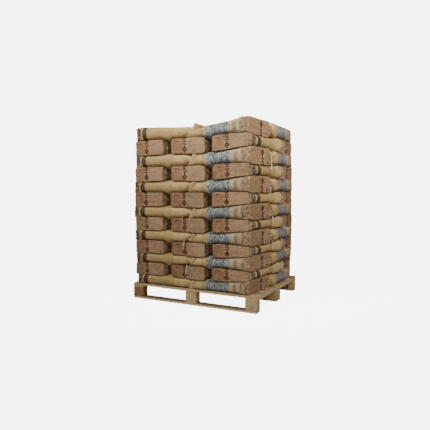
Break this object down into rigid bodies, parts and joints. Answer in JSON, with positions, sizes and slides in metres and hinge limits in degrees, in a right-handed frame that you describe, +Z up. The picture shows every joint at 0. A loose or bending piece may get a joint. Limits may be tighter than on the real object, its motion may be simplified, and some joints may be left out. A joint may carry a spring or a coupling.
{
  "type": "pallet of sacks",
  "caption": "Four way block pallet carrying interlocked layers of filled paper sacks, flat bottom ends outward and sewn tops inward.",
  "frame": {"origin": "on the floor, under the middle of the pallet", "axes": "+Z up; +X along the pallet's 1200 mm side; -Y towards the side that shows broadest in the picture, whose even layers show three flat bottom ends"},
  "size_m": [1.2121, 1.0001, 1.5496],
  "materials": {
    "pallet_wood": "matte",
    "block_wood": "matte",
    "kraft_paper": "matte"
  },
  "bodies": {
    "root": {"block_back_left": "block_wood", "block_back_middle": "block_wood", "block_back_right": "block_wood", "block_front_left": "block_wood", "block_front_middle": "block_wood", "block_front_right": "block_wood", "block_middle_left": "block_wood", "block_middle_middle": "block_wood", "block_middle_right": "block_wood", "deck_board_1": "pallet_wood", "deck_board_2": "pallet_wood", "deck_board_3": "pallet_wood", "deck_board_4": "pallet_wood", "deck_board_5": "pallet_wood", "deck_board_6": "pallet_wood", "deck_board_7": "pallet_wood", "runner_back": "pallet_wood", "runner_front": "pallet_wood", "runner_middle": "pallet_wood", "sack_layer_01": "kraft_paper", "sack_layer_02": "kraft_paper", "sack_layer_03": "kraft_paper", "sack_layer_04": "kraft_paper", "sack_layer_05": "kraft_paper", "sack_layer_06": "kraft_paper", "sack_layer_07": "kraft_paper", "sack_layer_08": "kraft_paper", "sack_layer_09": "kraft_paper", "sack_layer_10": "kraft_paper", "sack_layer_11": "kraft_paper", "sack_layer_12": "kraft_paper", "sack_layer_13": "kraft_paper", "stringer_left": "pallet_wood", "stringer_middle": "pallet_wood", "stringer_right": "pallet_wood"}
  },
  "joints": []
}
